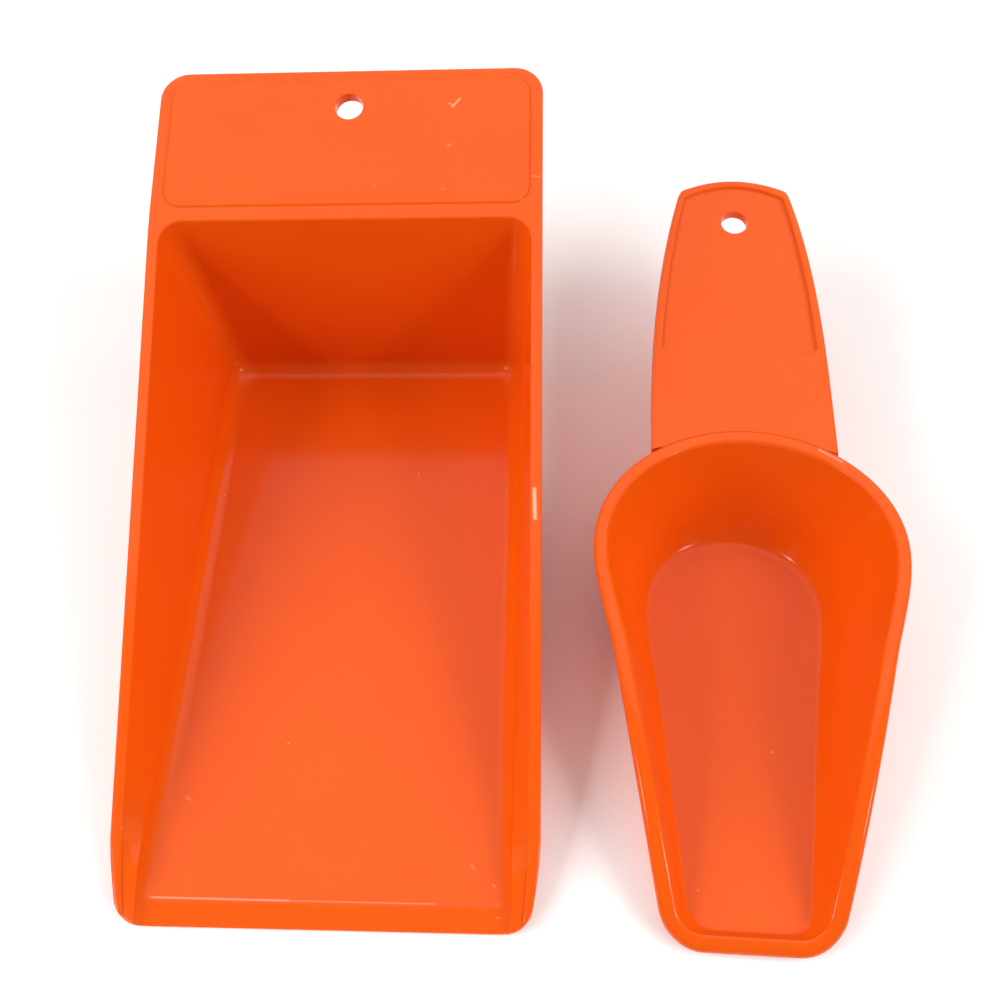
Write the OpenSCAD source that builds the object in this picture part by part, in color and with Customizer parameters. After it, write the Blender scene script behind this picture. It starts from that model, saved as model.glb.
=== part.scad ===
// Pair of moulded plastic canister scoops that lie side by side: a large
// square-backed scoop with a flat plate handle, and a small round-backed
// scoop with an arched handle.
// The frame: +X to the right, +Y towards the handles, +Z up, in millimetres.
// The origin lies on the table under the middle of the pair.

/* [Large scoop] */
// Width over the side rims
large_w = 100; // [92:1:110]
// Length of the bowl, from the front edge to the back wall
large_l = 162.5; // [140:0.5:180]
// Height of the back wall
large_h = 61; // [50:1:70]
// Width of the flat rims
large_rim_w = 2.9; // [2.4:0.1:3.6]
// Thickness of the side walls and of the back wall
large_wall_t = 2; // [1.6:0.1:2.8]
// How far each side wall leans in between its rim and the floor
large_draft = 3.7; // [2.5:0.1:5]
// Thickness of the floor
large_floor_t = 2.3; // [2:0.1:3]
// Length of the sharpened strip along the front edge
large_bevel_l = 6; // [4:0.5:8]

/* [Plate handle] */
// Length of the plate, measured along its slope
plate_l = 42.5; // [36:0.5:50]
// Upward tilt of the plate, in degrees
plate_tilt = 15; // [8:1:22]
// Thickness of the plate
plate_t = 2.8; // [2.4:0.1:3.4]
// Radius of the two outer corners
plate_corner_r = 7.5; // [4:0.5:9]
// Width of the border around the raised panel
panel_border = 2.7; // [2:0.1:4]

/* [Small scoop] */
// Greatest width over the rim
small_w = 74; // [66:1:84]
// Length of the bowl, from the lip to the back of the rim
small_bowl_l = 118; // [105:1:130]
// Height of the rim at the back
small_h = 32.7; // [26:0.1:36]
// Width of the round rim
small_rim_w = 3.6; // [3:0.1:4.2]
// Thickness of the floor
small_floor_t = 2.4; // [2:0.1:3]
// Length over the bowl and the handle together
small_l = 195; // [180:1:210]

/* [Arched handle] */
// Half of the handle's width where it leaves the bowl
handle_root_hw = 22.9; // [20:0.1:25]
// Half of the handle's width at its far corners
handle_tip_hw = 14.7; // [12:0.1:18]
// Rise of the handle between the bowl and its tip
handle_rise = 8.5; // [5:0.5:12]
// Thickness of the handle
handle_t = 3.2; // [2.8:0.1:4]
// Depth of the recess in its top
recess_d = 0.9; // [0.5:0.1:1.2]

/* [Hanging holes] */
// Diameter of the hanging hole in each handle
hole_d = 7.2; // [6:0.1:8]
// Distance of the large scoop's hole from the end of its plate
large_hole_back = 11; // [9:0.5:14]
// Distance of the small scoop's hole from the end of its handle
small_hole_back = 13.6; // [11:0.1:16]

/* [Layout] */
// Gap between the two rims where they come closest
gap = 12.4; // [8:0.1:30]
// Turn of the small scoop about the vertical, in degrees, clockwise from above
small_turn = 1.8; // [0:0.1:4]
// How far the small scoop's lip stands in front of the large scoop's edge
lip_stagger = 3.2; // [0:0.2:8]

/* [Hidden] */
orange = "#ff5f1f";

// Large scoop, in its own frame: y = 0 at the front edge, x = 0 in the middle.
large_hw = large_w / 2;
// Height of the side rims where they run out at the front
large_lip_h = 3.1;
// Thickness of the rims where they stand out from the walls
large_rim_edge = 2.2;
// Outer radius of the two upright back corners
large_back_r = 8.5;
// Radius of the fillet between the floor and the walls
large_fillet_r = 4.5;
// Thickness left along the sharpened front edge
large_edge_t = 1.1;
// Corners of the outline at the front: across and along
front_corner_x = 5;
front_corner_y = 18;
// Where the plate starts to rise, on the inner edge of the back wall
plate_y = large_l - large_rim_w;
panel_h = 0.4;
panel_r = 5;
panel_front_gap = 3.2;
large_back_y = plate_y + plate_l * cos(plate_tilt) + plate_t * sin(plate_tilt);

// Small scoop, in its own frame: y = 0 at the lip, x = 0 on its centre line.
small_hw = small_w / 2;
// Height of the rim along the lip
small_lip_h = 3.4;
// Place of the greatest width, and of the end of the rim's rise
small_wide_y = 86;
small_rise_y = 104;
// Roundness of the back of the bowl: 2 is an ellipse, more is squarer
small_back_power = 2;
// How fast the rim climbs from the lip
small_rim_power = 2;
// Half width of the lip before its corners are rounded, and their size
small_lip_hw = 18.9;
small_corner = 8.2;
// The inner floor: half widths at the back and at the lip, and its two ends
small_floor_hw = 22;
small_floor_lip_hw = 13.5;
small_floor_back_y = 100;
small_floor_lip_y = 5;
small_floor_corner = 6;
// The handle's own lengths along y
handle_y0 = small_bowl_l - small_rim_w;
handle_corner_y = small_l - 3.5;
recess_border = 2.3;
recess_y0 = 143.2;
recess_bow = 4.7;
recess_y1 = small_l - 2;

// Places of both scoops in the shared frame
pair_w = large_w + gap + small_w;
large_x = large_hw - pair_w / 2;
small_wide_x = pair_w / 2 - small_hw;
front_y = -(large_back_y + lip_stagger) / 2;

// Segments along each stretch of an outline
side_n = 12;
corner_n = 6;
end_n = 4;
egg_n = 16;
handle_n = 14;

function clamp(v, low, high) = min(high, max(low, v));
function mix(a, b, t) = a + (b - a) * t;

// A quarter of an ellipse, from angle a0, without its last point
function corner_arc(cx, cy, rx, ry, a0) =
  [for (i = [0:corner_n - 1]) let (a = a0 + 90 * i / corner_n) [cx + rx * cos(a), cy + ry * sin(a)]];

// Points from p to q, without q
function run(p, q, n) = [for (i = [0:n - 1]) mix(p, q, i / n)];

// Outline of the large scoop at one level, counter-clockwise from the front left
function tray_outline(hw, y0, y1, rb, rx, ry) =
  let (xf = hw - rx, xb = hw - rb)
  concat(
    run([-xf, y0], [xf, y0], end_n),
    corner_arc(xf, y0 + ry, rx, ry, -90),
    run([hw, y0 + ry], [hw, y1 - rb], side_n),
    corner_arc(xb, y1 - rb, rb, rb, 0),
    run([xb, y1], [-xb, y1], end_n),
    corner_arc(-xb, y1 - rb, rb, rb, 90),
    run([-hw, y1 - rb], [-hw, y0 + ry], side_n),
    corner_arc(-xf, y0 + ry, rx, ry, 180)
  );

// Height of the large scoop's rim: a straight line from the lip to the back wall
function large_rim_z(y) = mix(large_lip_h, large_h, clamp(y / plate_y, 0, 1));

// Thickness of that rim, less where it runs out at the front
function large_rim_t(y) = min(large_rim_edge, 0.45 * (large_rim_z(y) - 1));

// A ring that lies at one height
function flat_ring(outline, z) = [for (p = outline) [p[0], p[1], z]];

// The mean of a ring's points
function middle(ring) = [for (p = ring) 1 / len(ring)] * ring;

// Closes a stack of rings, each with the same number of points, into a solid.
// Each end is a fan of triangles about the middle of its ring.
module skin(rings) {
  n = len(rings[0]);
  m = len(rings);
  polyhedron(
    points = concat([for (ring = rings) each ring], [middle(rings[0]), middle(rings[m - 1])]),
    faces = [
      for (i = [0:n - 1]) [n * m, i, (i + 1) % n],
      for (k = [0:m - 2], i = [0:n - 1])
        let (a = k * n + i, b = k * n + (i + 1) % n)
        each [[a, a + n, b + n], [a, b + n, b]],
      for (i = [0:n - 1]) [n * m + 1, (m - 1) * n + (i + 1) % n, (m - 1) * n + i]
    ]
  );
}

// Floor and walls of the large scoop
module large_bowl() {
  foot_hw = large_hw - large_rim_w - large_draft + large_wall_t;
  wall_gap = large_rim_w - large_wall_t;
  foot = tray_outline(foot_hw, 0, large_l - large_draft - wall_gap,
    large_back_r - 1, front_corner_x, front_corner_y);
  foot_inner = tray_outline(foot_hw - 1, 1, large_l - large_draft - wall_gap - 1,
    large_back_r - 2, front_corner_x, front_corner_y);
  wall = tray_outline(large_hw - wall_gap, 0, large_l - wall_gap,
    large_back_r, front_corner_x, front_corner_y);
  rim = tray_outline(large_hw, 0, large_l, 1.5, front_corner_x, front_corner_y);
  rim_inner = tray_outline(large_hw - large_rim_w, large_rim_w, large_l - large_rim_w,
    large_back_r - large_rim_w, front_corner_x, front_corner_y);
  base_hw = large_hw - large_rim_w - large_draft;
  base_y1 = large_l - large_rim_w - large_draft;
  // The fillet is swept in even steps from the wall, at 0, to the floor, at 1
  function fillet_ring(t) =
    let (s = large_fillet_r * (1 - cos(90 * t)), up = large_fillet_r * (1 - sin(90 * t)),
      line = tray_outline(base_hw - s, large_rim_w + 0.6 + s, base_y1 - s,
        large_back_r - large_rim_w, front_corner_x, front_corner_y))
    [for (i = [0:len(line) - 1])
      let (room = large_rim_z(rim_inner[i][1]) - large_floor_t)
      [line[i][0], line[i][1], large_floor_t + min(up, room * (0.9 - 0.9 * t))]];
  skin([
    flat_ring(foot_inner, 0),
    flat_ring(foot, 1),
    [for (p = wall) [p[0], p[1], large_rim_z(p[1]) - large_rim_t(p[1]) - 0.3]],
    [for (p = rim) [p[0], p[1], large_rim_z(p[1]) - large_rim_t(p[1])]],
    [for (p = rim) [p[0], p[1], large_rim_z(p[1])]],
    [for (p = rim_inner) [p[0], p[1], large_rim_z(p[1])]],
    for (t = [0:0.25:1]) fillet_ring(t)
  ]);
}

// The wedge that sharpens the front edge between the side walls
module front_bevel() {
  inner_hw = large_hw - large_rim_w - large_draft;
  rotate([90, 0, 90])
    linear_extrude(2 * inner_hw, center = true)
      polygon([[-1, large_edge_t - 0.2], [large_bevel_l, large_floor_t],
        [large_bevel_l, large_lip_h + 2], [-1, large_lip_h + 2]]);
}

// A plate with two rounded corners at its far end, lying along +Y
module end_rounded(w, l, r, t) {
  linear_extrude(t) {
    translate([-w / 2, 0])
      square([w, l - r]);
    translate([r - w / 2, 0])
      square([w - 2 * r, l]);
    for (x = [r - w / 2, w / 2 - r])
      translate([x, l - r])
        circle(r, $fn = 48);
  }
}

// A plate with four rounded corners, lying along +Y
module all_rounded(w, l, r, t) {
  linear_extrude(t) {
    translate([-w / 2, r])
      square([w, l - 2 * r]);
    translate([r - w / 2, 0])
      square([w - 2 * r, l]);
    for (x = [r - w / 2, w / 2 - r], y = [r, l - r])
      translate([x, y])
        circle(r, $fn = 48);
  }
}

module plate_handle() {
  translate([0, plate_y, large_h])
    rotate([plate_tilt, 0, 0]) {
      translate([0, 0, -plate_t])
        end_rounded(large_w, plate_l, plate_corner_r, plate_t);
      translate([0, panel_front_gap, -plate_t / 2])
        all_rounded(large_w - 2 * panel_border, plate_l - panel_front_gap - panel_border,
          panel_r, plate_t / 2 + panel_h);
    }
}

// The cylinder of the large scoop's hanging hole, square to the plate
module large_hole() {
  translate([0, plate_y, large_h])
    rotate([plate_tilt, 0, 0])
      translate([0, plate_l - large_hole_back, -plate_t - 2])
        cylinder(d = hole_d, h = plate_t + 4, $fn = 64);
}

module large_scoop() {
  color(orange)
    translate([large_x, front_y + lip_stagger, 0])
      difference() {
        union() {
          large_bowl();
          plate_handle();
        }
        front_bevel();
        large_hole();
      }
}

// How a side widens from the lip to the widest place, easing off at its end
function side_share(t) =
  let (u = clamp((t - 0.7) / 0.3, 0, 1))
  t ^ 0.95 + 0.285 * u * u * (1 - u);

// Half of the bowl's outline, from the middle of the lip to the middle of the
// back: a rounded lip corner, a nearly straight side and an ellipse behind it
function half_egg(hw, wide_y, back_y, lip_hw, lip_y, corner) =
  let (side_x = function (y) mix(lip_hw, hw, side_share(clamp((y - lip_y) / (wide_y - lip_y), 0, 1))))
  concat(
    [for (i = [0:3]) [(lip_hw - corner) * i / 4, lip_y]],
    [for (i = [0:4]) let (a = 90 * i / 5, y = lip_y + corner * (1 - cos(a)))
      [side_x(y) - corner * (1 - sin(a)), y]],
    [for (i = [0:egg_n - 1]) let (y = mix(lip_y + corner, wide_y, i / egg_n)) [side_x(y), y]],
    [for (i = [0:egg_n - 1]) let (a = 90 * i / egg_n)
      [hw * cos(a) ^ (2 / small_back_power),
        wide_y + (back_y - wide_y) * sin(a) ^ (2 / small_back_power)]]
  );

// The whole outline, counter-clockwise from the middle of the lip
function egg_outline(hw, wide_y, back_y, lip_hw, lip_y, corner) =
  let (half = half_egg(hw, wide_y, back_y, lip_hw, lip_y, corner))
  concat(half, [[0, back_y]], [for (i = [len(half) - 1:-1:1]) [-half[i][0], half[i][1]]]);

// Height of the small scoop's rim: steep behind the lip, level at the back
function small_rim_z(y) =
  small_lip_h + (small_h - small_lip_h) * (1 - (1 - clamp(y / small_rise_y, 0, 1)) ^ small_rim_power);

// Outline of the rim moved inwards by d
function rim_outline(d) =
  egg_outline(small_hw - d, small_wide_y, small_bowl_l - d, small_lip_hw - d, d, small_corner - d);

// Outline of the inner floor moved outwards by d
function floor_outline(d) =
  egg_outline(small_floor_hw + d, small_wide_y - 6, small_floor_back_y + d,
    small_floor_lip_hw + d, small_floor_lip_y - 0.6 * d, small_floor_corner + d / 2);

// A ring between two outlines, with heights shared between two height lists
function between(lower, upper, t, zt) =
  [for (i = [0:len(lower) - 1]) [
    mix(lower[i][0], upper[i][0], t),
    mix(lower[i][1], upper[i][1], t),
    mix(lower[i][2], upper[i][2], zt)]];

module small_bowl() {
  rim_edge = [for (p = rim_outline(0)) [p[0], p[1], small_rim_z(p[1]) - 1.2]];
  rim_top = [for (p = rim_outline(1.1)) [p[0], p[1], small_rim_z(p[1])]];
  rim_top_inner = [for (p = rim_outline(small_rim_w - 1)) [p[0], p[1], small_rim_z(p[1])]];
  wall_top = [for (p = rim_outline(small_rim_w)) [p[0], p[1], small_rim_z(p[1]) - 0.8]];
  floor_ring = flat_ring(floor_outline(0), small_floor_t);
  foot = flat_ring(floor_outline(1.2), 0);
  rim_under = [for (p = rim_outline(0.2)) [p[0], p[1], small_rim_z(p[1]) - 2.2]];
  skin([
    foot,
    // The outer wall swells like a cup between its foot and the rim
    between(foot, rim_under, 0.30, 0.08),
    between(foot, rim_under, 0.62, 0.40),
    between(foot, rim_under, 0.86, 0.76),
    rim_under,
    rim_edge,
    rim_top,
    rim_top_inner,
    wall_top,
    between(floor_ring, wall_top, 0.86, 0.78),
    between(floor_ring, wall_top, 0.66, 0.47),
    between(floor_ring, wall_top, 0.42, 0.20),
    between(floor_ring, wall_top, 0.20, 0.05),
    floor_ring
  ]);
}

// Half width of the handle at distance y from the lip
function handle_hw(y) =
  let (t = clamp((y - handle_y0) / (handle_corner_y - handle_y0), 0, 1))
  handle_root_hw - (handle_root_hw - handle_tip_hw) * t ^ 2.5;

// Height of the handle's top: level at the bowl, rising, nearly level at the tip
function handle_z(y) =
  let (t = clamp((y - handle_y0) / (small_l - handle_y0), 0, 1))
  small_h - 0.8 + handle_rise * (1 - cos(180 * t * 0.88)) / 2 * 1.035;

// A strip that follows the handle's top: stations along y with a half width
// each, between a lower and an upper offset from that top
module handle_strip(stations, low, high) {
  skin([for (s = stations) [
    [-s[1], s[0], handle_z(s[0]) + low],
    [-s[1], s[0], handle_z(s[0]) + high],
    [s[1], s[0], handle_z(s[0]) + high],
    [s[1], s[0], handle_z(s[0]) + low]]]);
}

// The far end is an arc: the half width shrinks to zero over the last 3.5 mm
function end_stations(y0, y1, hw) = [for (i = [1:6]) let (t = i / 6)
  [mix(y0, y1, t), hw * sqrt(1 - t * 0.985)]];

module arched_handle() {
  body = [for (i = [0:handle_n]) let (y = mix(handle_y0, handle_corner_y, i / handle_n))
    [y, handle_hw(y)]];
  handle_strip(concat(body, end_stations(handle_corner_y, small_l, handle_tip_hw)), -handle_t, 0);
}

module handle_recess() {
  recess_y2 = handle_corner_y - 3.3;
  near_end = [for (i = [0:5]) let (t = i / 6)
    [recess_y0 - recess_bow * (1 - t), (handle_hw(recess_y0) - recess_border) * sqrt(0.01 + 0.99 * t)]];
  body = [for (i = [0:handle_n]) let (y = mix(recess_y0, recess_y2, i / handle_n))
    [y, handle_hw(y) - recess_border]];
  far_end = end_stations(recess_y2, recess_y1, handle_hw(recess_y2) - recess_border);
  handle_strip(concat(near_end, body, far_end), -recess_d, 3);
}

// The cylinder of the small scoop's hanging hole, upright
module small_hole() {
  hole_y = small_l - small_hole_back;
  translate([0, hole_y, handle_z(hole_y) - handle_t - 2])
    cylinder(d = hole_d, h = handle_t + 4, $fn = 64);
}

module small_scoop() {
  color(orange)
    translate([small_wide_x, front_y + small_wide_y, 0])
      rotate([0, 0, -small_turn])
        translate([0, -small_wide_y, 0])
          difference() {
            union() {
              small_bowl();
              arched_handle();
            }
            handle_recess();
            small_hole();
          }
}

large_scoop();
small_scoop();
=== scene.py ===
import math

import bmesh
import bpy
from mathutils import Matrix, Vector


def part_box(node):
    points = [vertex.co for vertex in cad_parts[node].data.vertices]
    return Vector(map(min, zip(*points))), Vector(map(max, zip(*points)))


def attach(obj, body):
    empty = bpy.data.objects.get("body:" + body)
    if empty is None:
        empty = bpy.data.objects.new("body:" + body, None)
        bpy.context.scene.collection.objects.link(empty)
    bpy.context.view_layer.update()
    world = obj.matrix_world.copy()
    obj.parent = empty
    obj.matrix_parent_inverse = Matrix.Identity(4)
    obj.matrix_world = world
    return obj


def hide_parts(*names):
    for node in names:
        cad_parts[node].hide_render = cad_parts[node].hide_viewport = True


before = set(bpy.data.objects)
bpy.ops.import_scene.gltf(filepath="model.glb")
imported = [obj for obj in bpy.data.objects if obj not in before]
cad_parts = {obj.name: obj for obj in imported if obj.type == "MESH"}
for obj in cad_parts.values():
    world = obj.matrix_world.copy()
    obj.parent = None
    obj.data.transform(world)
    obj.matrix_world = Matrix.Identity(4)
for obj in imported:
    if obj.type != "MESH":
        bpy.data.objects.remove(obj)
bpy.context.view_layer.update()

scene = bpy.context.scene
MM = 0.001


# ---------------------------------------------------------------- Viewpoint
# The pair is seen from above its front end, looking down and a little
# towards the handles, with the camera slightly turned and leaning.
camera_data = bpy.data.cameras.new("viewpoint")
camera_data.sensor_width = 36.0
camera_data.lens = 35.55
camera_data.clip_start = 0.01
camera = bpy.data.objects.new("viewpoint", camera_data)
camera.matrix_world = (
    Matrix.Translation(Vector((8.7, -117.2, 244.5)) * MM)
    @ Matrix.Rotation(math.radians(6.12), 4, "Z")
    @ Matrix.Rotation(math.radians(28.17), 4, "X")
    @ Matrix.Rotation(math.radians(-5.29), 4, "Z")
)
scene.collection.objects.link(camera)
scene.camera = camera
scene.view_settings.view_transform = "Standard"


# ---------------------------------------------------------- Table and light
# A white laminate table top between two soft boxes, left and right, with a
# wide one above, two small lamps at the front and a white room all round.
def linear(hex_colour):
    """An sRGB hex colour as linear red, green, blue and full alpha."""
    parts = [int(hex_colour[i:i + 2], 16) / 255 for i in (1, 3, 5)]
    return [p / 12.92 if p <= 0.04045 else ((p + 0.055) / 1.055) ** 2.4 for p in parts] + [1.0]


def add(tree, kind, settings=None, inputs=None):
    """Adds a node, sets its properties, and sets or links its inputs."""
    made = tree.nodes.new(kind)
    for name, value in (settings or {}).items():
        setattr(made, name, value)
    for name, value in (inputs or {}).items():
        if isinstance(value, bpy.types.NodeSocket):
            tree.links.new(value, made.inputs[name])
        else:
            made.inputs[name].default_value = value
    return made


laminate = bpy.data.materials.new("white_laminate")
laminate.use_nodes = True
tree = laminate.node_tree
shader = tree.nodes["Principled BSDF"]
shader.inputs["Roughness"].default_value = 0.55
shader.inputs["Specular IOR Level"].default_value = 0.3
place = add(tree, "ShaderNodeTexCoord").outputs["Object"]
# Faint unevenness of tone, about 33 mm across.
grime = add(tree, "ShaderNodeTexNoise", inputs={"Vector": place, "Scale": 0.03 / MM, "Detail": 3.0})
tone = add(tree, "ShaderNodeValToRGB", inputs={"Fac": grime.outputs["Fac"]})
tone.color_ramp.elements[0].color = linear("#F7F6F5")
tone.color_ramp.elements[1].color = linear("#FCFBFA")
tree.links.new(tone.outputs["Color"], shader.inputs["Base Color"])

table_mesh = bpy.data.meshes.new("table")
table_half = 1.5
table_mesh.from_pydata(
    [(x * table_half, y * table_half, -0.0001) for x, y in ((-1, -1), (1, -1), (1, 1), (-1, 1))],
    [], [(0, 1, 2, 3)])
table = bpy.data.objects.new("table", table_mesh)
table.data.materials.append(laminate)
scene.collection.objects.link(table)

for name, spot, size, watts, glints in (
    ("soft_box_left", (-0.74, -0.12, 0.54), 0.60, 6.6, False),
    ("soft_box_right", (0.76, -0.12, 0.56), 0.60, 6.6, False),
    ("lamp_front_left", (-0.52, -0.55, 0.55), 0.10, 0.9, True),
    ("lamp_front_right", (0.66, -0.55, 0.55), 0.10, 0.9, True),
    ("soft_box_above", (0.00, 0.45, 1.10), 2.00, 9.5, True),
):
    lamp = bpy.data.lights.new(name, "AREA")
    lamp.shape = "SQUARE"
    lamp.size = size
    lamp.energy = watts
    lamp_object = bpy.data.objects.new(name, lamp)
    lamp_object.location = spot
    lamp_object.visible_glossy = glints
    lamp_object.rotation_euler = (-Vector(spot)).to_track_quat("-Z", "Y").to_euler()
    scene.collection.objects.link(lamp_object)

room = bpy.data.worlds.new("white_room")
room.use_nodes = True
room.node_tree.nodes["Background"].inputs["Color"].default_value = linear("#FFFBF7")
room.node_tree.nodes["Background"].inputs["Strength"].default_value = 0.12
scene.world = room


# ------------------------------------------------------- Large scoop: shape
# One moulding with a flat floor, leaning walls, a flat rim that rises to the
# back and runs on into a plate handle with a raised panel and a hanging hole.
# Its frame: x = 0 in the middle, y = 0 at the front edge, z = 0 underneath.
HALF_W = 50.0
LENGTH = 162.5
RIM_W = 2.9
DRAFT = 3.7
WALL_T = 2.0
FLOOR_T = 2.3
FILLET = 4.5
BACK_R = 5.6
KINK_Y = LENGTH - RIM_W
KINK_Z = 61.0
LIP_Z = 3.1
BEVEL_L = 6.0
EDGE_T = 1.1
PLATE_L = 42.5
PLATE_T = 2.8
TILT = math.radians(15)


def mix(a, b, t):
    return a + (b - a) * t


def ease(low, high, v):
    t = min(1.0, max(0.0, (v - low) / (high - low)))
    return t * t * (3 - 2 * t)


def rim_z(y):
    return mix(LIP_Z, KINK_Z, min(1.0, max(0.0, y / KINK_Y)))


def floor_z(y):
    return mix(EDGE_T, FLOOR_T, min(1.0, y / BEVEL_L))


def front_curve(y):
    """How far the rim's outer line has come in, near the front corner."""
    return 2.6 * max(0.0, 1 - y / 18) ** 1.46


def outline_x(y, inset):
    """The outer line of the rim at y: nearly straight, then round the corner."""
    y = max(0.0, y - inset)
    r = 5.2 - inset
    corner = r - math.sqrt(r * r - (r - min(y, r)) ** 2)
    return HALF_W - inset - front_curve(y) - corner


def outline_y(x, inset):
    """The front part of that line, at x."""
    low, high = inset, 18.0
    if x <= outline_x(inset, inset):
        return inset
    for _ in range(40):
        middle = (low + high) / 2
        if outline_x(middle, inset) < x:
            low = middle
        else:
            high = middle
    return (low + high) / 2


ROUND = 0.6
fillet_lines = [t / 6 for t in range(1, 7)]
side_y = [6.0, 9.0, 12.0, 15.0, 18.0] + [18 + 136 * i / 40 for i in range(1, 41)]
front_share = [0.0, 0.3, 0.6, 0.85, 1.0]
ARC_N = 9
BACK_N = 10


def wall_point(kind, value, y):
    """Half width, depth from the kink and height of one line at y."""
    room_z = rim_z(y) - floor_z(y)
    rise = min(FILLET, 0.8 * room_z)
    edge = min(0.5, 0.25 * room_z)
    if kind == "edge":
        shift, _, drop = value
        return shift, 0.55 * front_curve(y), rim_z(y) - drop * edge / 0.14
    if kind == "wall":
        q = value
        top = rim_z(y) - edge
        return DRAFT * q, 0.55 * front_curve(y) * (1 - q), mix(top, floor_z(y) + rise, q)
    angle = math.radians(90 * value)
    return DRAFT + FILLET * (1 - math.cos(angle)), 0.0, floor_z(y) + rise * (1 - math.sin(angle))


# Lines from the rim's inner edge down the wall and round the fillet.
lines = [("edge", (-0.5, 0, 0.0)), ("edge", (-0.15, 0, 0.04)), ("edge", (-0.03, 0, 0.1))]
lines += [("wall", q / 6) for q in range(7)]
lines += [("fillet", t) for t in fillet_lines]

large = bmesh.new()


def line_points(kind, value):
    """One line from the right front, round the back, to the left front."""
    half = []
    shift = wall_point(kind, value, 100.0)[0]
    x0 = HALF_W - RIM_W - shift
    start = 0.0
    for _ in range(20):
        front_x = x0 - wall_point(kind, value, start)[1]
        start = outline_y(front_x, ROUND)
    for share in front_share[:-1]:
        half.append(mix(start, side_y[0], share))
    half += side_y
    radius = BACK_R - (shift if shift < 0 else 0)
    back_y = KINK_Y - shift
    end_y = back_y - radius
    points = []
    for y in half:
        y = y if y < 100 else mix(100, end_y, (y - 100) / 54)
        _, inward, z = wall_point(kind, value, y)
        points.append((x0 - inward, y, z))
    for i in range(1, ARC_N + 1):
        a = math.radians(90 * i / ARC_N)
        y = end_y + radius * math.sin(a)
        points.append((x0 - radius * (1 - math.cos(a)), y, wall_point(kind, value, y + shift)[2]))
    corner_x = points[-1][0]
    z = points[-1][2]
    points += [(corner_x * (1 - i / BACK_N), back_y, z) for i in range(1, BACK_N)]
    points.append((0.0, back_y, z))
    return points + [(-x, y, z) for x, y, z in reversed(points[:-1])]


def on_plate(x, along, up):
    """A point given in the plate's own frame: across, along its slope, above it."""
    return (x, KINK_Y + along * math.cos(TILT) - up * math.sin(TILT),
            KINK_Z + along * math.sin(TILT) + up * math.cos(TILT))


inner = [[large.verts.new(p) for p in line_points(*line)] for line in lines]
side_n = len(front_share) - 1 + len(side_y) + ARC_N
total_n = len(inner[0])


def strip(mesh, a, b, closed=False):
    """Quads between two rows of points, triangles where two points are one."""
    n = len(a)
    for i in range(n if closed else n - 1):
        j = (i + 1) % n
        corners = []
        for v in (a[i], a[j], b[j], b[i]):
            if v not in corners:
                corners.append(v)
        if len(corners) > 2 and mesh.faces.get(corners) is None:
            mesh.faces.new(corners)


for upper, lower in zip(inner, inner[1:]):
    strip(large, upper, lower)

# The top outline: right side from the corner up, round the plate, left side.
right_top = []
for i in range(side_n):
    x, y, z = inner[0][i].co
    if i == 0:
        right_top.append(inner[0][0])
        continue
    y = mix(y, KINK_Y + 0.5, ease(150, 160, y)) if y > 158 else y
    right_top.append(large.verts.new((outline_x(y, ROUND), y, rim_z(y))))
left_top = [inner[0][-1]] + [
    large.verts.new((-v.co.x, v.co.y, v.co.z)) for v in right_top[1:]]
strip(large, right_top, inner[0][:side_n])
strip(large, inner[0][::-1][:side_n], left_top)

plate_r = 7.5 - ROUND
plate_end = PLATE_L - ROUND
along_side = [2.0 + (plate_end - plate_r - 2.0) * i / 10 for i in range(11)]
plate_path = [(HALF_W - ROUND, a) for a in along_side]
for i in range(1, 13):
    a = math.radians(90 * i / 12)
    plate_path.append((HALF_W - ROUND - plate_r * (1 - math.cos(a)),
                       plate_end - plate_r * (1 - math.sin(a))))
right_x = plate_path[-1][0]
plate_path += [(right_x * (1 - i / 10), plate_end) for i in range(1, 11)]
plate_path += [(-x, a) for x, a in reversed(plate_path[:-1])]
plate_top = [large.verts.new(on_plate(x, a, 0)) for x, a in plate_path]


def loop_edges(mesh, points, closed=True):
    edges = []
    n = len(points)
    for i in range(n if closed else n - 1):
        a, b = points[i], points[(i + 1) % n]
        edges.append(mesh.edges.get((a, b)) or mesh.edges.new((a, b)))
    return edges


def rounded_panel(half_w, low, high, r, up):
    """A closed loop on the plate: a rectangle with rounded corners."""
    path = []
    for cx, cy, a0 in ((half_w - r, high - r, 0), (r - half_w, high - r, 90),
                       (r - half_w, low + r, 180), (half_w - r, low + r, 270)):
        path += [(cx + r * math.cos(math.radians(a0 + 10 * i)),
                  cy + r * math.sin(math.radians(a0 + 10 * i))) for i in range(10)]
    return [large.verts.new(on_plate(x, a, up)) for x, a in path]


PANEL_H = 0.4
PANEL_BORDER = 2.7
PANEL_FRONT = 3.2
panel_rings = [
    rounded_panel(HALF_W - PANEL_BORDER - s, PANEL_FRONT + s, PLATE_L - PANEL_BORDER - s, 5.0 - s, up)
    for s, up in ((0.0, 0.0), (0.12, -0.08), (0.32, -0.1), (0.5, 0.0), (0.7, 0.3), (0.95, PANEL_H))]
for low_ring, high_ring in zip(panel_rings, panel_rings[1:]):
    strip(large, low_ring, high_ring, closed=True)

HOLE_R = 3.6
HOLE_AT = PLATE_L - 11.0
hole_levels = ((0.35, PANEL_H), (0.1, PANEL_H - 0.1), (0.0, PANEL_H - 0.35),
               (0.0, 0.35 - PLATE_T), (0.1, 0.1 - PLATE_T), (0.35, -PLATE_T))
hole_rings = []
for grow, up in hole_levels:
    hole_rings.append([
        large.verts.new(on_plate((HOLE_R + grow) * math.cos(math.radians(7.5 * i)),
                                 HOLE_AT + (HOLE_R + grow) * math.sin(math.radians(7.5 * i)), up))
        for i in range(48)])
for a, b in zip(hole_rings, hole_rings[1:]):
    strip(large, a, b, closed=True)

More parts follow.
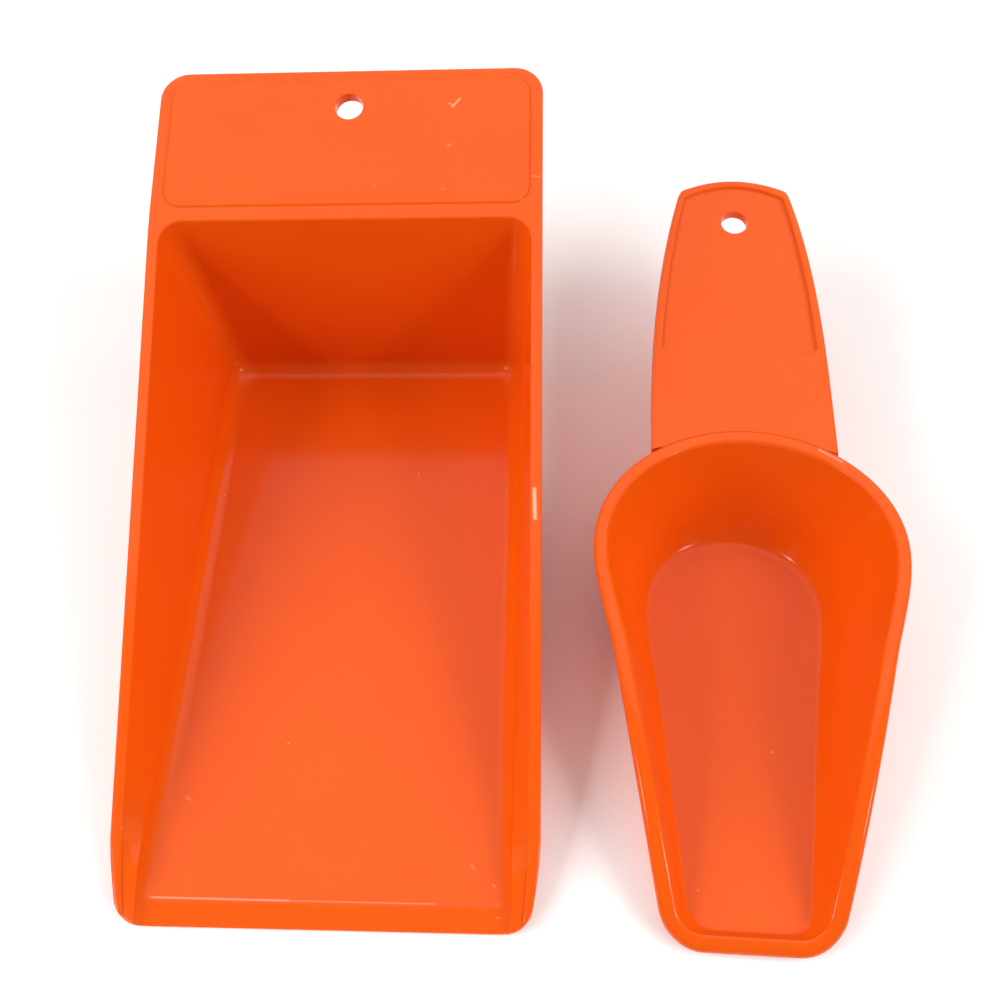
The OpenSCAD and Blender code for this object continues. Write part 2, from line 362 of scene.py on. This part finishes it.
rim_loop = (inner[0][side_n - 1:total_n - side_n + 1] + left_top[side_n - 1:side_n]
            + plate_top[::-1] + right_top[side_n - 1:side_n])
bmesh.ops.triangle_fill(large, use_beauty=True, normal=(0, 0, 1),
                        edges=loop_edges(large, rim_loop) + loop_edges(large, panel_rings[0]))
bmesh.ops.triangle_fill(large, use_beauty=True, normal=(0, 0, 1),
                        edges=loop_edges(large, panel_rings[-1]) + loop_edges(large, hole_rings[0]))

# The floor, and the strip along its front that is thinned to an edge.
floor_line = inner[-1]
front_n = len(front_share) - 1
FRONT_COLUMNS = 12
rows = []
for k in range(front_n + 1):
    right, left = floor_line[k], floor_line[total_n - 1 - k]
    row = [right]
    for i in range(1, FRONT_COLUMNS):
        x = mix(right.co.x, left.co.x, i / FRONT_COLUMNS)
        row.append(large.verts.new((x, right.co.y, right.co.z)))
    rows.append(row + [left])
for a, b in zip(rows, rows[1:]):
    strip(large, a, b)
crease = [rows[-1][0]] + rows[-1][1:]
behind = [floor_line[front_n + 1]] + [
    large.verts.new((v.co.x, floor_line[front_n + 1].co.y, FLOOR_T)) for v in crease[1:-1]
] + [floor_line[total_n - 2 - front_n]]
strip(large, crease, behind)
large.faces.new(behind + floor_line[front_n + 1:total_n - 1 - front_n][::-1][1:-1])

# The front outline runs along the ends of those lines; then the outer edge
# is rounded over, down to the underside of the rim and of the plate.
front_right = [line[0] for line in inner]
front_left = [line[-1] for line in inner]
outline = (right_top + plate_top + left_top[::-1]
           + front_left[1:] + rows[0][1:-1][::-1] + front_right[1:][::-1])


def outward(points):
    """Unit normals, in plan, of a closed outline that runs counter-clockwise."""
    normals = []
    n = len(points)
    for i in range(n):
        a, b = points[i - 1].co, points[(i + 1) % n].co
        d = Vector((b.x - a.x, b.y - a.y))
        d = d.normalized() if d.length > 1e-6 else Vector((0, 1))
        normals.append(Vector((d.y, -d.x)))
    return normals


def rim_t(z):
    return min(2.2, 0.45 * z)


normals = outward(outline)
edge_rings = []
for out, down in ((0.33, 0.08), (0.52, 0.25), (ROUND, ROUND), (ROUND, -ROUND), (0.52, -0.25), (0.33, -0.08)):
    ring = []
    for v, n in zip(outline, normals):
        x, y, z = v.co
        thick = mix(rim_t(z), PLATE_T, ease(150, 163, y))
        scale = min(1.0, thick / (2.4 * ROUND))
        drop = down * scale if down > 0 else thick + down * scale
        lean = TILT * ease(150, 163, y)
        ring.append(large.verts.new((
            x + n.x * out, y + n.y * out + drop * math.sin(lean), z - drop * math.cos(lean))))
    edge_rings.append(ring)
strip(large, outline, edge_rings[0], closed=True)
for a, b in zip(edge_rings, edge_rings[1:]):
    strip(large, a, b, closed=True)

# Under the rim: the outer faces of the walls, the sole, and the plate's back.
below = edge_rings[-1]
FOOT_SCALE = (HALF_W - RIM_W - DRAFT + WALL_T) / HALF_W
WALL_SCALE = (HALF_W - RIM_W + WALL_T) / HALF_W
under_n = len(right_top)
plate_n = len(plate_top)


def skirt(scale, back_y, r, front_y, height):
    """A closed ring under the rim's outline, which leaves the plate out."""
    arc_from = under_n - ARC_N
    half = []
    for i in range(under_n):
        v = below[i].co
        if i < arc_from:
            stretched_y = v.y / (KINK_Y - BACK_R) * (back_y - r)
            half.append((v.x * scale, mix(v.y, stretched_y, ease(20, 154, v.y)), v))
        else:
            a = math.radians(90 * (i - arc_from + 1) / ARC_N)
            half.append((HALF_W * scale - r * (1 - math.cos(a)), back_y - r * (1 - math.sin(a)), v))
    ring = [(x, max(y, front_y), height(v)) for x, y, v in half]
    corner_x, _, corner_z = ring[-1]
    ring += [(corner_x * (1 - i / BACK_N), back_y, corner_z) for i in range(1, 2 * BACK_N)]
    ring += [(-x, y, z) for x, y, z in reversed(ring[:under_n])]
    for v in below[2 * under_n + plate_n:]:
        ring.append((v.co.x * scale, max(v.co.y, front_y), height(v.co)))
    return [large.verts.new(p) for p in ring]


wall_top = skirt(WALL_SCALE, LENGTH - RIM_W + WALL_T, 8.0, 0.9, lambda p: p.z - 0.12 * min(1, p.z) - 0.1)
wall_mid = skirt((WALL_SCALE + FOOT_SCALE) / 2, LENGTH - RIM_W + WALL_T - DRAFT / 2, 7.8, 0.9,
                 lambda p: p.z * 0.5)
wall_low = skirt(FOOT_SCALE, LENGTH - RIM_W + WALL_T - DRAFT, 7.5, 0.9, lambda p: min(2.2, 0.4 * p.z))
foot_a = skirt(FOOT_SCALE - 0.006, LENGTH - RIM_W + WALL_T - DRAFT - 0.4, 7.2, 1.0,
               lambda p: min(0.8, 0.16 * p.z))
foot_b = skirt(FOOT_SCALE - 0.02, LENGTH - RIM_W + WALL_T - DRAFT - 1.1, 6.8, 1.3,
               lambda p: min(0.2, 0.05 * p.z))
sole = skirt(FOOT_SCALE - 0.04, LENGTH - RIM_W + WALL_T - DRAFT - 2.2, 6.5, 1.9, lambda p: 0.0)
under_rings = [wall_top, wall_mid, wall_low, foot_a, foot_b, sole]
for a, b in zip(under_rings, under_rings[1:]):
    strip(large, a, b, closed=True)
large.faces.new(sole[::-1])
strip(large, below[:under_n], wall_top[:under_n])
left_from = under_n + 2 * BACK_N - 1
left_below = below[under_n + plate_n:] + below[:1]
strip(large, left_below, wall_top[left_from:] + wall_top[:1])
under_loop = wall_top[under_n - 1:left_from + 1] + below[under_n - 1:under_n + plate_n + 1][::-1]
bmesh.ops.triangle_fill(large, use_beauty=True, normal=(0, 0, -1),
                        edges=loop_edges(large, under_loop) + loop_edges(large, hole_rings[-1]))


def finish_mesh(mesh, name, place, turn=0.0):
    """Turns a mesh in millimetres into an object at its place."""
    bmesh.ops.remove_doubles(mesh, verts=mesh.verts[:], dist=1e-4)
    bmesh.ops.recalc_face_normals(mesh, faces=mesh.faces[:])
    bmesh.ops.transform(mesh, verts=mesh.verts[:], matrix=(
        Matrix.Translation(place) @ Matrix.Rotation(turn, 4, "Z") @ Matrix.Scale(MM, 4)))
    data = bpy.data.meshes.new(name)
    mesh.to_mesh(data)
    mesh.free()
    made = bpy.data.objects.new(name, data)
    scene.collection.objects.link(made)
    return made


def smooth(piece, sharp_degrees=40):
    """Smooth shading in which the large flat faces lead."""
    data = piece.data
    data.shade_smooth()
    data.set_sharp_from_angle(angle=math.radians(sharp_degrees))
    lead = piece.modifiers.new("flat_faces_lead", "WEIGHTED_NORMAL")
    lead.keep_sharp = True
    lead.weight = 50


large_low, large_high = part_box("large_scoop")
large_place = Vector(((large_low.x + large_high.x) / 2, large_low.y, 0.0))
large_piece = finish_mesh(large, "large_scoop_moulding", large_place)
smooth(large_piece)


# ---------------------------------------------------- Large scoop: material
# Injection-moulded polyethylene, glossy from a polished mould and slightly
# waxy; years of use have left fine scratches, specks and rubbed places, and some of the marks passed in are
# painted highlights on rims and edges.
def moulded_polyethylene(name, place_shift, marks=(), pebbled=False):
    material = bpy.data.materials.new(name)
    material.use_nodes = True
    tree = material.node_tree
    shader = tree.nodes["Principled BSDF"]
    shader.inputs["IOR"].default_value = 1.51
    shader.inputs["Specular IOR Level"].default_value = 0.38
    shader.inputs["Subsurface Weight"].default_value = 0.12
    shader.inputs["Subsurface Radius"].default_value = (1.0, 0.25, 0.08)
    shader.inputs["Subsurface Scale"].default_value = 1.5 * MM
    place = add(tree, "ShaderNodeTexCoord").outputs["Object"]

    # Faint clouding of the pigment, 20 mm across.
    cloud = add(tree, "ShaderNodeTexNoise", inputs={"Vector": place, "Scale": 1 / (20 * MM), "Detail": 2.0})
    pigment = add(tree, "ShaderNodeMix", {"data_type": "RGBA"}, {
        "Factor": cloud.outputs["Fac"], "A": linear("#E25308"), "B": linear("#E6580B")})
    colour = pigment.outputs["Result"]

    # Specks of dust and wear, about 0.4 mm across and 9 mm apart.
    cells = add(tree, "ShaderNodeTexVoronoi", inputs={"Vector": place, "Scale": 1 / (9 * MM)})
    speck = add(tree, "ShaderNodeMapRange", inputs={
        "Value": cells.outputs["Distance"], "From Min": 0.035, "From Max": 0.02})
    pick = add(tree, "ShaderNodeSeparateColor", inputs={"Color": cells.outputs["Color"]})
    few = add(tree, "ShaderNodeMath", {"operation": "GREATER_THAN"}, {0: pick.outputs["Red"], 1: 0.72})
    specks = add(tree, "ShaderNodeMath", {"operation": "MULTIPLY"}, {
        0: speck.outputs["Result"], 1: few.outputs["Value"]})
    wear_and_painted_highlights = add(tree, "ShaderNodeMath", {"operation": "MULTIPLY"}, {0: specks.outputs["Value"], 1: 0.35})

    # Single marks, each a stroke between two points of the scoop. Some are wear; others are painted
    # highlights, pale streaks where light glints on a rim or an edge.
    shifted = add(tree, "ShaderNodeVectorMath", {"operation": "SUBTRACT"}, {0: place, 1: place_shift})
    for start, end, width, strength in marks:
        a, b = Vector(start) * MM, Vector(end) * MM
        reach = add(tree, "ShaderNodeVectorMath", {"operation": "SUBTRACT"}, {
            0: shifted.outputs["Vector"], 1: a})
        share = add(tree, "ShaderNodeVectorMath", {"operation": "DOT_PRODUCT"}, {
            0: reach.outputs["Vector"], 1: (b - a) / max((b - a).length_squared, 1e-12)})
        held = add(tree, "ShaderNodeClamp", inputs={"Value": share.outputs["Value"]})
        along = add(tree, "ShaderNodeVectorMath", {"operation": "SCALE"}, {
            0: b - a, "Scale": held.outputs["Result"]})
        gap = add(tree, "ShaderNodeVectorMath", {"operation": "DISTANCE"}, {
            0: reach.outputs["Vector"], 1: along.outputs["Vector"]})
        mask = add(tree, "ShaderNodeMapRange", {"interpolation_type": "SMOOTHSTEP"}, {
            "Value": gap.outputs["Value"], "From Min": width * MM, "From Max": 0.0, "To Max": strength})
        wear_and_painted_highlights = add(tree, "ShaderNodeMath", {"operation": "MAXIMUM"}, {
            0: wear_and_painted_highlights.outputs["Value"], 1: mask.outputs["Result"]})
    # Specks and marks pull the pigment towards a pale peach: wear, and painted highlights.
    worn_and_highlit_colour = add(tree, "ShaderNodeMix", {"data_type": "RGBA"}, {
        "Factor": wear_and_painted_highlights.outputs["Value"], "A": colour, "B": linear("#FFC8A8")})
    tree.links.new(worn_and_highlit_colour.outputs["Result"], shader.inputs["Base Color"])

    # Fine scratches from spooning: long thin noise, coarser than the real ones.
    stretched = add(tree, "ShaderNodeMapping", {"vector_type": "TEXTURE"}, {
        "Vector": place, "Rotation": (0, 0, math.radians(12)), "Scale": (0.6, 14.0, 4.0)})
    hair = add(tree, "ShaderNodeTexNoise", inputs={
        "Vector": stretched.outputs["Vector"], "Scale": 1 / (1.2 * MM), "Detail": 2.0})
    gloss = add(tree, "ShaderNodeMapRange", inputs={
        "Value": hair.outputs["Fac"], "From Min": 0.35, "From Max": 0.7, "To Min": 0.13, "To Max": 0.19})
    rough = add(tree, "ShaderNodeMath", {"operation": "ADD"}, {
        0: gloss.outputs["Result"], 1: wear_and_painted_highlights.outputs["Value"]})
    tree.links.new(rough.outputs["Value"], shader.inputs["Roughness"])

    # The wall's slight unevenness from the mould, 12 mm across.
    ripple = add(tree, "ShaderNodeTexNoise", inputs={"Vector": place, "Scale": 1 / (12 * MM), "Detail": 1.0})
    relief = add(tree, "ShaderNodeBump", inputs={
        "Height": ripple.outputs["Fac"], "Strength": 0.25, "Distance": 0.15 * MM})
    if pebbled:
        # Pebble grain etched into the mould, 0.8 mm from grain to grain.
        grains = add(tree, "ShaderNodeTexVoronoi", {"feature": "SMOOTH_F1"}, {
            "Vector": place, "Scale": 1 / (0.8 * MM), "Smoothness": 0.6})
        relief = add(tree, "ShaderNodeBump", {"invert": True}, {
            "Height": grains.outputs["Distance"], "Strength": 0.9, "Distance": 0.2 * MM,
            "Normal": relief.outputs["Normal"]})
    tree.links.new(relief.outputs["Normal"], shader.inputs["Normal"])
    return material


# A rubbed scratch and smudge on the plate, a nick in its right edge, a few
# specks and small scrapes near the front of the floor; then painted highlights: a pale streak on the right
# rim and a line along the crease of the front bevel, fading to the right.
def on_floor(x, y):
    return (x, y, floor_z(y))


def on_rim(x, y):
    return (x, y, rim_z(y))


def on_panel(x, y):
    return (x, y, KINK_Z + (y - KINK_Y) * math.tan(TILT) + PANEL_H)


large_marks = (
    (on_panel(26.7, 189.3), on_panel(28.7, 191.5), 0.50, 0.50),
    (on_panel(25.9, 190.2), on_panel(27.4, 189.6), 0.45, 0.30),
    (on_panel(25.9, 178.5), on_panel(26.6, 178.9), 0.50, 0.22),
    (on_panel(7.4, 167.9), on_panel(7.5, 168.0), 0.30, 0.40),
    (on_panel(24.9, 166.8), on_panel(25.0, 166.8), 0.30, 0.35),
    (on_panel(47.4, 170.2), on_panel(49.8, 169.8), 0.55, 0.75),
    # Painted highlight: a pale streak on the right rim where a lamp glints.
    (on_rim(48.2, 95.0), on_rim(48.4, 88.5), 0.75, 0.75),
    (on_floor(-36.0, 28.9), on_floor(-35.2, 28.2), 0.45, 0.18),
    (on_floor(33.8, 14.6), on_floor(34.6, 13.8), 0.50, 0.16),
    (on_floor(39.0, 10.4), on_floor(39.4, 10.0), 0.35, 0.30),
    (on_floor(40.1, 3.5), on_floor(41.0, 3.3), 0.35, 0.30),
    # Painted highlight: a pale line along the crease at the back of the front bevel, fading to the right.
    (on_floor(-41.5, 6.1), on_floor(-8.0, 6.0), 0.35, 0.42),
    (on_floor(-8.0, 6.0), on_floor(26.0, 6.0), 0.30, 0.20),
)
large_piece.data.materials.append(
    moulded_polyethylene("polished_moulded_polyethylene", large_place, large_marks))
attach(large_piece, "large")
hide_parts("large_scoop")


# ------------------------------------------------------- Small scoop: shape
# One moulding: an egg-shaped bowl with a rounded rim, and a strap-like arched
# handle whose sunk, pebbled panel gives the thumb a hold.
# Its frame: x = 0 on the centre line, y = 0 at the lip, z = 0 underneath.
SMALL_HALF_W = 37.0
SMALL_L = 195.0
BOWL_L = 118.0
WIDE_Y = 86.0
SMALL_H = 32.7
SMALL_LIP_Z = 3.4
RISE_Y = 104.0
SMALL_FLOOR_T = 2.4
LIP_HALF_W = 18.9
LIP_CORNER = 8.2
RIM_BEAD = 3.6


def egg(half_w, wide_y, back_y, lip_half_w, lip_y, corner):
    """Outline of the bowl at one level, counter-clockwise from the lip's middle."""
    def side(y):
        t = min(1.0, max(0.0, (y - lip_y) / (wide_y - lip_y)))
        u = max(0.0, (t - 0.7) / 0.3)
        return mix(lip_half_w, half_w, t ** 0.95 + 0.285 * u * u * (1 - u))
    half = [((lip_half_w - corner) * i / 6, lip_y) for i in range(6)]
    for i in range(10):
        a = math.radians(9 * i)
        y = lip_y + corner * (1 - math.cos(a))
        half.append((side(y) - corner * (1 - math.sin(a)), y))
    for i in range(30):
        y = mix(lip_y + corner, wide_y, i / 30)
        half.append((side(y), y))
    for i in range(32):
        a = math.radians(90 * i / 32)
        half.append((half_w * math.cos(a), wide_y + (back_y - wide_y) * math.sin(a)))
    return half + [(0.0, back_y)] + [(-x, y) for x, y in reversed(half[1:])]


def small_rim_z(y):
    t = min(1.0, max(0.0, y / RISE_Y))
    return SMALL_LIP_Z + (SMALL_H - SMALL_LIP_Z) * (1 - (1 - t) ** 2)


def rim_line(inset, drop):
    path = egg(SMALL_HALF_W - inset, WIDE_Y, BOWL_L - inset, LIP_HALF_W - inset, inset,
               LIP_CORNER - inset)
    return [(x, y, small_rim_z(y) - drop * min(1.0, small_rim_z(y) / 6)) for x, y in path]


def level_line(grow, z, half_w=21.0, lip_half_w=12.9, back_y=99.4):
    path = egg(half_w + grow, WIDE_Y - 6, back_y + grow, lip_half_w + grow, 5 - 0.6 * grow, 6 + grow / 2)
    return [(x, y, z) for x, y in path]


def between(lower, upper, across, height):
    return [(mix(a[0], b[0], across), mix(a[1], b[1], across), mix(a[2], b[2], height))
            for a, b in zip(lower, upper)]


def wall_rise(t):
    """The inner wall's section: nearly level by the floor, then steep."""
    bend, soft = 0.30, 0.24
    base = math.hypot(bend, soft) - bend
    full = math.hypot(1 - bend, soft) + 1 - bend - base
    return (math.hypot(t - bend, soft) + t - bend - base) / full * ease(-0.03, 0.3, t)


bowl = bmesh.new()
foot_line = level_line(2.2, 0.6)
under_rim = rim_line(1.0, 2.6)
bowl_lines = [level_line(0.0, 0.0), level_line(1.4, 0.15)]
bowl_lines += [between(foot_line, under_rim, t, t ** 1.9) for t in [i / 9 for i in range(10)]]
bowl_lines += [rim_line(0.35, 2.3), rim_line(0.05, 1.9), rim_line(0.0, 1.2), rim_line(0.12, 0.65),
               rim_line(0.45, 0.25), rim_line(0.95, 0.05), rim_line(1.8, 0.0),
               rim_line(2.6, 0.06), rim_line(3.1, 0.25), rim_line(3.45, 0.6)]
bowl_top = rim_line(RIM_BEAD, 1.1)
bowl_floor = level_line(0.0, SMALL_FLOOR_T)
bowl_lines += [between(bowl_floor, bowl_top, t, wall_rise(t)) for t in [1 - i / 22 for i in range(23)]]
bowl_rings = [[bowl.verts.new(p) for p in line] for line in bowl_lines]
for a, b in zip(bowl_rings, bowl_rings[1:]):
    strip(bowl, a, b, closed=True)
bowl.faces.new(bowl_rings[0][::-1])
bowl.faces.new(bowl_rings[-1])

HANDLE_Y = BOWL_L - RIM_BEAD
TIP_CORNER_Y = SMALL_L - 3.5
HANDLE_T = 3.2
RECESS_D = 0.9
ROOT_HALF_W = 22.9
TIP_NARROWS = 8.2
ARCH = 8.5


def handle_half_w(y):
    t = min(1.0, max(0.0, (y - HANDLE_Y) / (TIP_CORNER_Y - HANDLE_Y)))
    return ROOT_HALF_W - TIP_NARROWS * t ** 2.5


def handle_top(y):
    t = min(1.0, max(0.0, (y - HANDLE_Y) / (SMALL_L - HANDLE_Y)))
    return SMALL_H - 0.8 + ARCH * (1 - math.cos(math.pi * t * 0.88)) / 2 * 1.035


# Columns: distance in from the side, edge drop, and share of the recess.
side_columns = [(0.0, 0.7, 0.0), (0.2, 0.22, 0.0), (0.7, 0.0, 0.0), (1.4, 0.0, 0.0), (2.05, 0.0, 0.0),
                (2.2, 0.0, 0.12), (2.4, 0.0, 0.88), (2.55, 0.0, 1.0)]
INNER_COLUMNS = 18
# Rows: y at the sides, how far the middle bows, edge drop, share of the recess.
handle_rows = [(112.2 + 4.35 * i, 3.0 - 1.15 * i, 0.0, 0.0) for i in range(7)]
handle_rows += [(142.8, -4.7, 0.0, 0.0), (143.0, -4.7, 0.0, 0.12), (143.3, -4.7, 0.0, 0.88),
                (143.6, -4.7, 0.0, 1.0)]
handle_rows += [(mix(143.6, 187.2, i / 20), mix(-4.7, 5.4, i / 20), 0.0, 1.0) for i in range(1, 21)]
handle_rows += [(187.4, 5.4, 0.0, 0.88), (187.7, 5.35, 0.0, 0.12), (187.9, 5.3, 0.0, 0.0),
                (189.6, 4.6, 0.0, 0.0), (191.0, 3.7, 0.0, 0.0), (191.4, 3.55, 0.22, 0.0),
                (191.5, 3.5, 0.7, 0.0)]
handle = bmesh.new()
top_rows, under_rows, sunk = [], [], []
for row_y, bow, row_drop, row_share in handle_rows:
    half_w = handle_half_w(row_y) - 0.9 * max(0.0, (row_y - 190.0) / 1.5) ** 3
    columns = [(-half_w + d, drop, share) for d, drop, share in side_columns]
    first, last = columns[-1][0], -columns[-1][0]
    columns += [(mix(first, last, i / INNER_COLUMNS), 0.0, 1.0) for i in range(1, INNER_COLUMNS)]
    columns += [(half_w - d, drop, share) for d, drop, share in reversed(side_columns)]
    top_row, under_row = [], []
    for x, drop, share in columns:
        y = row_y + bow * (1 - (x / half_w) ** 2)
        z = handle_top(y)
        depth = RECESS_D * share * row_share
        edge = min(0.9, drop + row_drop)
        top_row.append(handle.verts.new((x, y, z - edge - depth)))
        under_row.append(handle.verts.new((x, y, z - HANDLE_T + edge)))
        if share * row_share > 0.99:
            sunk.append(top_row[-1])
    top_rows.append(top_row)
    under_rows.append(under_row)
for a, b in zip(top_rows, top_rows[1:]):
    strip(handle, a, b)
for a, b in zip(under_rows, under_rows[1:]):
    strip(handle, b, a)
strip(handle, top_rows[0], under_rows[0])
strip(handle, under_rows[-1], top_rows[-1])
strip(handle, [r[0] for r in under_rows], [r[0] for r in top_rows])
strip(handle, [r[-1] for r in top_rows], [r[-1] for r in under_rows])
sunk = set(sunk)
for face in handle.faces:
    if all(v in sunk for v in face.verts):
        face.material_index = 1

# The hanging hole's cutter, a plain cylinder.
HOLE_Y = SMALL_L - 13.6
CUT_REACH = 3.5
hole_mid = handle_top(HOLE_Y) - HANDLE_T / 2
cutter = bmesh.new()
cut_rings = []
for z in (-CUT_REACH, CUT_REACH):
    cut_rings.append([cutter.verts.new((
        HOLE_R * math.cos(math.radians(7.5 * i)),
        HOLE_Y + HOLE_R * math.sin(math.radians(7.5 * i)), hole_mid + z)) for i in range(48)])
strip(cutter, cut_rings[0], cut_rings[1], closed=True)
cutter.faces.new(cut_rings[0][::-1])
cutter.faces.new(cut_rings[1])

# The small scoop stands beside the large one, turned a little clockwise.
SMALL_TURN = math.radians(-1.8)
small_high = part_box("small_scoop")[1]
wide_x = small_high.x - SMALL_HALF_W * MM
pivot = Vector((wide_x, large_low.y + (WIDE_Y - 3.2) * MM, 0.0))
small_place = pivot - Matrix.Rotation(SMALL_TURN, 3, "Z") @ Vector((0, WIDE_Y * MM, 0))
small_piece = finish_mesh(bowl, "small_scoop_moulding", small_place, SMALL_TURN)
handle_piece = finish_mesh(handle, "small_handle_blank", small_place, SMALL_TURN)
cutter_piece = finish_mesh(cutter, "hole_cutter", small_place, SMALL_TURN)

# A worn place on the back of the rim, painted highlight streaks down its left side, and a speck.
def on_bead(x, y):
    return (x, y, small_rim_z(y))


small_marks = (
    (on_bead(21.5, 112.0), on_bead(26.5, 108.6), 0.60, 0.30),
    # Painted highlight: pale streaks along the left side of the rim, where light glints on the bead.
    (on_bead(-31.4, 60.0), on_bead(-28.2, 44.0), 0.45, 0.30),
    (on_bead(-25.6, 34.0), on_bead(-22.9, 20.0), 0.45, 0.22),
    ((-11.0, 13.4, SMALL_FLOOR_T), (-10.8, 13.3, SMALL_FLOOR_T), 0.35, 0.20),
)
small_piece.data.materials.append(
    moulded_polyethylene("satin_moulded_polyethylene", small_place, small_marks))
small_piece.data.materials.append(
    moulded_polyethylene("pebbled_moulded_polyethylene", small_place, pebbled=True))
for blank in (handle_piece, cutter_piece):
    for material in small_piece.data.materials:
        blank.data.materials.append(material)
for operation, other in (("UNION", handle_piece), ("DIFFERENCE", cutter_piece)):
    join = small_piece.modifiers.new(operation.lower(), "BOOLEAN")
    join.operation = operation
    join.solver = "EXACT"
    join.object = other
bpy.context.view_layer.update()
joined = bpy.data.meshes.new_from_object(
    small_piece.evaluated_get(bpy.context.evaluated_depsgraph_get()))
small_piece.modifiers.clear()
small_piece.data = joined
for blank in (handle_piece, cutter_piece):
    bpy.data.objects.remove(blank)
smooth(small_piece)
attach(small_piece, "small")
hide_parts("small_scoop")
